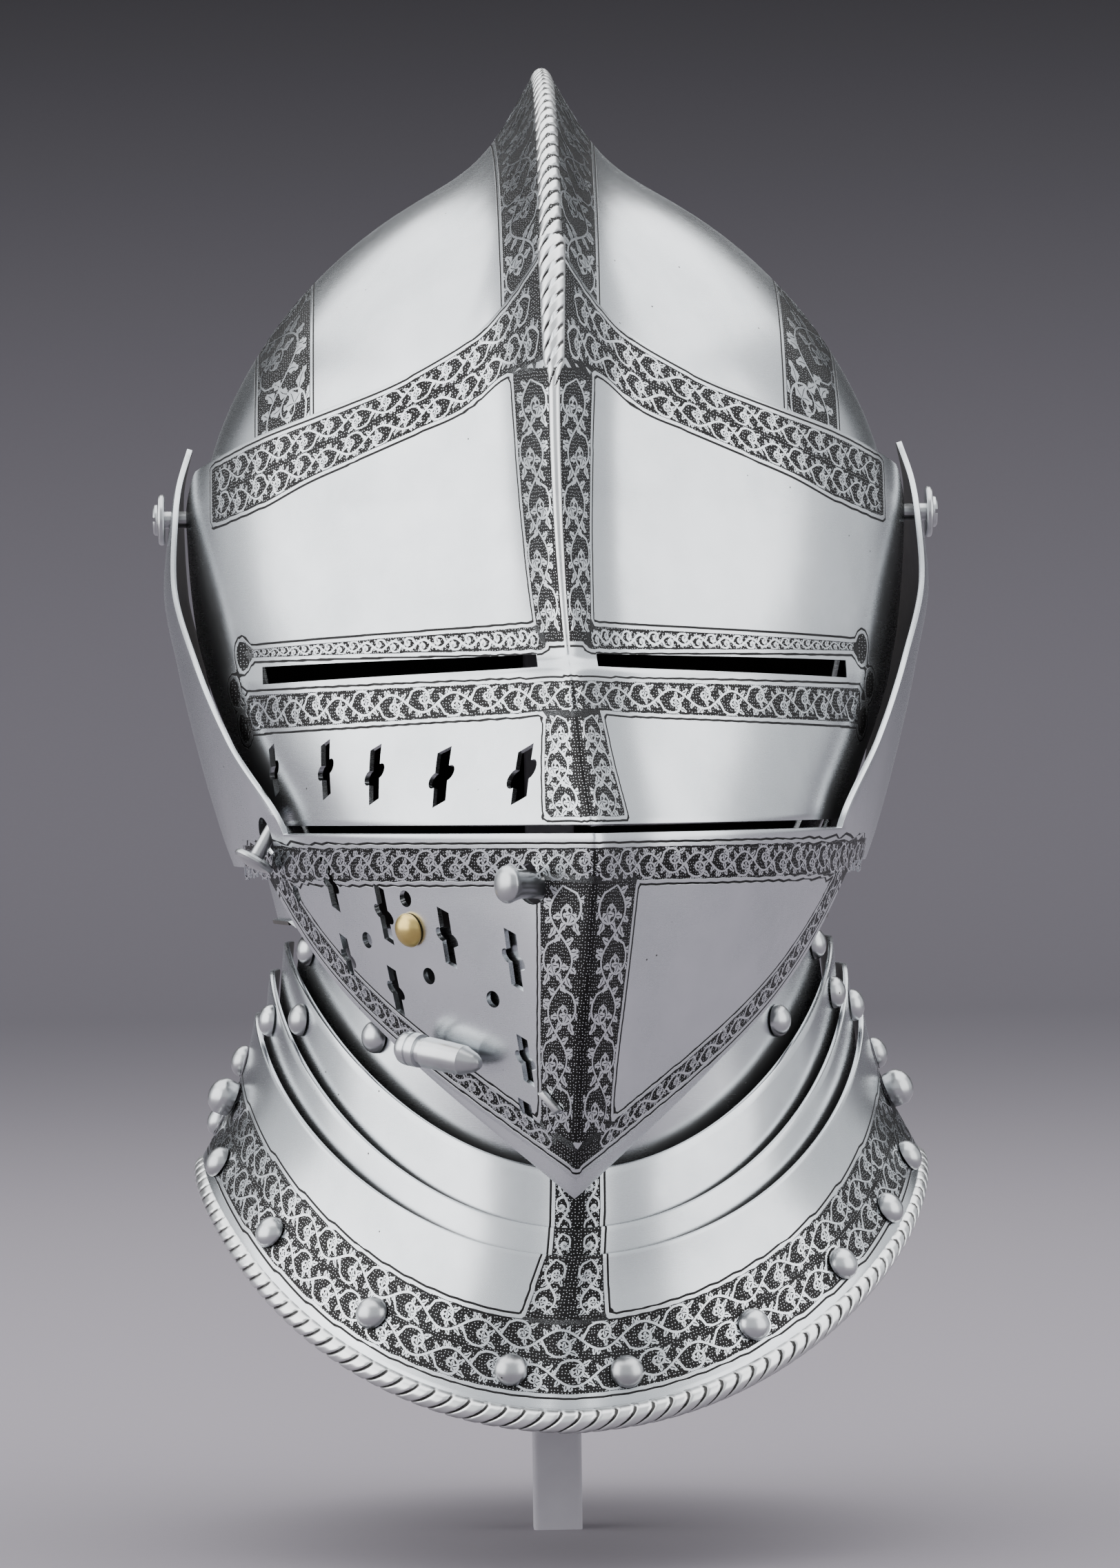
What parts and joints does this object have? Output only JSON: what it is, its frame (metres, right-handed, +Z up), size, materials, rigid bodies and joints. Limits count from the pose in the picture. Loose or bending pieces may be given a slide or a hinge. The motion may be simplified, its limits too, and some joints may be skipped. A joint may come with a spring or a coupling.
{
  "type": "close helmet on post stand",
  "caption": "Close helmet of etched steel: ridged skull, visor with sights, pierced ventail, bevor and laminated gorget, on a plain post stand.",
  "frame": {"origin": "middle of the whole seen from above, on the floor under the stand's foot", "axes": "+Z up, the face looks along -Y, +X is the wearer's left; the pivots' axis lies along X at Y 3.7 mm, Z 277 mm"},
  "size_m": [0.2104, 0.3008, 0.3964],
  "materials": {
    "etched_steel": "polished plate with etched and blackened bands",
    "polished_steel": "polished",
    "brass": "worn polish",
    "grey_paint": "matt"
  },
  "bodies": {
    "skull_body": {"back_gorget_plate": "etched_steel", "back_rivet_01": "polished_steel", "back_rivet_02": "polished_steel", "back_rivet_03": "polished_steel", "back_rivet_04": "polished_steel", "back_rivet_05": "polished_steel", "back_rivet_06": "polished_steel", "back_rivet_07": "polished_steel", "back_rivet_08": "polished_steel", "nape_lame_1": "etched_steel", "nape_lame_2": "etched_steel", "nape_lame_3": "etched_steel", "pivot_screw_left": "polished_steel", "pivot_screw_right": "polished_steel", "post_stand": "grey_paint", "skull": "etched_steel"},
    "bevor_body": {"bevor": "etched_steel", "throat_lame_1": "etched_steel", "throat_lame_2": "etched_steel", "throat_lame_3": "etched_steel", "front_gorget_plate": "etched_steel", "gorget_stud_left": "polished_steel", "gorget_stud_right": "polished_steel", "front_rivet_01": "polished_steel", "front_rivet_02": "polished_steel", "front_rivet_03": "polished_steel", "front_rivet_04": "polished_steel", "front_rivet_05": "polished_steel", "front_rivet_06": "polished_steel", "front_rivet_07": "polished_steel", "front_rivet_08": "polished_steel", "front_rivet_09": "polished_steel", "front_rivet_10": "polished_steel", "front_rivet_11": "polished_steel", "front_rivet_12": "polished_steel", "front_rivet_13": "polished_steel", "front_rivet_14": "polished_steel", "front_rivet_15": "polished_steel", "front_rivet_16": "polished_steel", "front_rivet_17": "polished_steel", "front_rivet_18": "polished_steel", "front_rivet_19": "polished_steel", "front_rivet_20": "polished_steel"},
    "ventail_body": {"ventail": "etched_steel", "catch_button": "polished_steel", "spring_rivet": "brass", "latch_knob": "polished_steel", "catch_nose": "polished_steel"},
    "visor_body": {"visor": "etched_steel", "lifting_peg": "polished_steel"}
  },
  "joints": [
    {"name": "bevor_hinge", "type": "hinge", "parent": "skull_body", "child": "bevor_body", "pos_m": [0, 0.0037, 0.277], "axis": [-1, 0, 0], "range_deg": [0, 30]},
    {"name": "ventail_hinge", "type": "hinge", "parent": "bevor_body", "child": "ventail_body", "pos_m": [0, 0.0037, 0.277], "axis": [-1, 0, 0], "range_deg": [0, 15]},
    {"name": "visor_hinge", "type": "hinge", "parent": "ventail_body", "child": "visor_body", "pos_m": [0, 0.0037, 0.277], "axis": [-1, 0, 0], "range_deg": [0, 40]}
  ]
}
